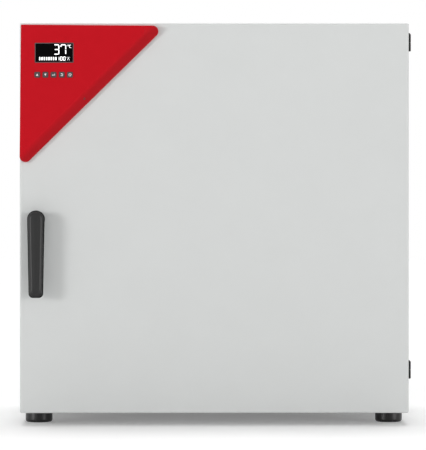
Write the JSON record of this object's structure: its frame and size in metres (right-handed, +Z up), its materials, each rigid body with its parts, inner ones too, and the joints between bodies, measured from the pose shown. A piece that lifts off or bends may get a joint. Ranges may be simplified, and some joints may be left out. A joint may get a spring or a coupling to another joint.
{
  "type": "bench incubator",
  "caption": "Double-walled warming cabinet for microbiological cultures: front door with control panel and lever handle, inner glass door, wire shelves and a fan-heated chamber.",
  "frame": {"origin": "bottom centre of the bounding box, on the surface the feet stand on", "axes": "+X to the right as seen from the front, towards the door's hinge side; +Y from the door to the back; +Z up"},
  "size_m": [0.7183, 0.643, 0.735],
  "materials": {
    "casing_paint": "satin",
    "panel_red": "satin",
    "black_moulding": "satin",
    "hinge_black": "satin",
    "key_grey": "matte",
    "display_cover": "gloss",
    "foot_rubber": "matte",
    "seal_rubber": "matte",
    "stainless": "satin",
    "chromed_wire": "polished",
    "clear_glass": "polished",
    "mineral_wool": "matte",
    "circuit_board": "satin",
    "motor_steel": "satin"
  },
  "bodies": {
    "cabinet": {"casing_left": "casing_paint", "casing_right": "casing_paint", "casing_top": "casing_paint", "base_plate": "casing_paint", "rear_panel": "casing_paint", "mains_inlet": "black_moulding", "network_socket": "black_moulding", "hinge_leaf_housing_upper": "hinge_black", "hinge_leaf_housing_lower": "hinge_black", "hinge_pin_upper": "hinge_black", "hinge_pin_lower": "hinge_black", "foot_front_left": "foot_rubber", "foot_front_right": "foot_rubber", "foot_rear_left": "foot_rubber", "foot_rear_right": "foot_rubber", "glass_door_seal": "seal_rubber", "chamber_front_frame": "stainless", "inner_tank": "stainless", "chamber_left_wall": "stainless", "chamber_right_wall": "stainless", "chamber_floor": "stainless", "chamber_ceiling": "stainless", "chamber_rear_wall": "stainless", "compartment_plate": "stainless", "motor_bracket": "stainless", "ring_heater": "stainless", "temperature_probe": "stainless", "latch_keeper": "stainless", "glass_hinge_bracket_upper": "stainless", "glass_hinge_bracket_lower": "stainless", "insulation_jacket": "mineral_wool", "insulation_rear": "mineral_wool", "power_board": "circuit_board", "fan_motor": "motor_steel"},
    "door": {"door_outer_pan": "casing_paint", "door_insulation": "mineral_wool", "door_liner": "stainless", "door_seal": "seal_rubber", "hinge_leaf_door_upper": "hinge_black", "hinge_leaf_door_lower": "hinge_black", "handle_bush": "black_moulding", "panel_cover": "panel_red", "display_window": "display_cover", "controller_board": "circuit_board"},
    "handle": {"handle_lever": "black_moulding", "handle_spindle": "stainless", "latch_cam": "stainless"},
    "glass_door": {"glass_pane": "clear_glass", "glass_door_knob": "stainless", "glass_hinge_clamp_upper": "stainless", "glass_hinge_clamp_lower": "stainless"},
    "lower_shelf": {"shelf_lower": "chromed_wire"},
    "upper_shelf": {"shelf_upper": "chromed_wire"},
    "fan": {"fan_wheel": "stainless"},
    "key_up_cap": {"key_up": "key_grey"},
    "key_down_cap": {"key_down": "key_grey"},
    "key_enter_cap": {"key_enter": "key_grey"},
    "key_back_cap": {"key_back": "key_grey"},
    "key_power_cap": {"key_power": "key_grey"}
  },
  "joints": [
    {"name": "door_swing", "type": "hinge", "parent": "cabinet", "child": "door", "pos_m": [0.35515, -0.221, 0.3785], "axis": [0, 0, 1], "range_deg": [0, 160]},
    {"name": "handle_turn", "type": "hinge", "parent": "door", "child": "handle", "pos_m": [-0.32855, -0.2835, 0.3763], "axis": [0, -1, 0], "range_deg": [0, 90]},
    {"name": "glass_door_swing", "type": "hinge", "parent": "cabinet", "child": "glass_door", "pos_m": [0.26885, -0.211, 0.3785], "axis": [0, 0, 1], "range_deg": [0, 100]},
    {"name": "shelf_lower_slide", "type": "slide", "parent": "cabinet", "child": "lower_shelf", "axis": [0, -1, 0], "range_m": [0, 0.08]},
    {"name": "shelf_upper_slide", "type": "slide", "parent": "cabinet", "child": "upper_shelf", "axis": [0, -1, 0], "range_m": [0, 0.08]},
    {"name": "fan_spin", "type": "hinge", "parent": "cabinet", "child": "fan", "pos_m": [-0.00415, 0.2415, 0.3785], "axis": [0, 1, 0], "continuous": true},
    {"name": "key_up_press", "type": "slide", "parent": "door", "child": "key_up_cap", "axis": [0.0301, 0.9991, -0.0301], "range_m": [0, 0.0008], "stiffness_N_per_m": 400},
    {"name": "key_down_press", "type": "slide", "parent": "door", "child": "key_down_cap", "axis": [0.0301, 0.9991, -0.0301], "range_m": [0, 0.0008], "stiffness_N_per_m": 400},
    {"name": "key_enter_press", "type": "slide", "parent": "door", "child": "key_enter_cap", "axis": [0.0301, 0.9991, -0.0301], "range_m": [0, 0.0008], "stiffness_N_per_m": 400},
    {"name": "key_back_press", "type": "slide", "parent": "door", "child": "key_back_cap", "axis": [0.0301, 0.9991, -0.0301], "range_m": [0, 0.0008], "stiffness_N_per_m": 400},
    {"name": "key_power_press", "type": "slide", "parent": "door", "child": "key_power_cap", "axis": [0.0301, 0.9991, -0.0301], "range_m": [0, 0.0008], "stiffness_N_per_m": 400}
  ],
  "couplings": [
    {"joint": "glass_door_swing", "follows": "door_swing", "ratio": 0.624},
    {"joint": "shelf_lower_slide", "follows": "door_swing", "m_per_rad": 0.0286},
    {"joint": "shelf_upper_slide", "follows": "door_swing", "m_per_rad": 0.0286}
  ]
}
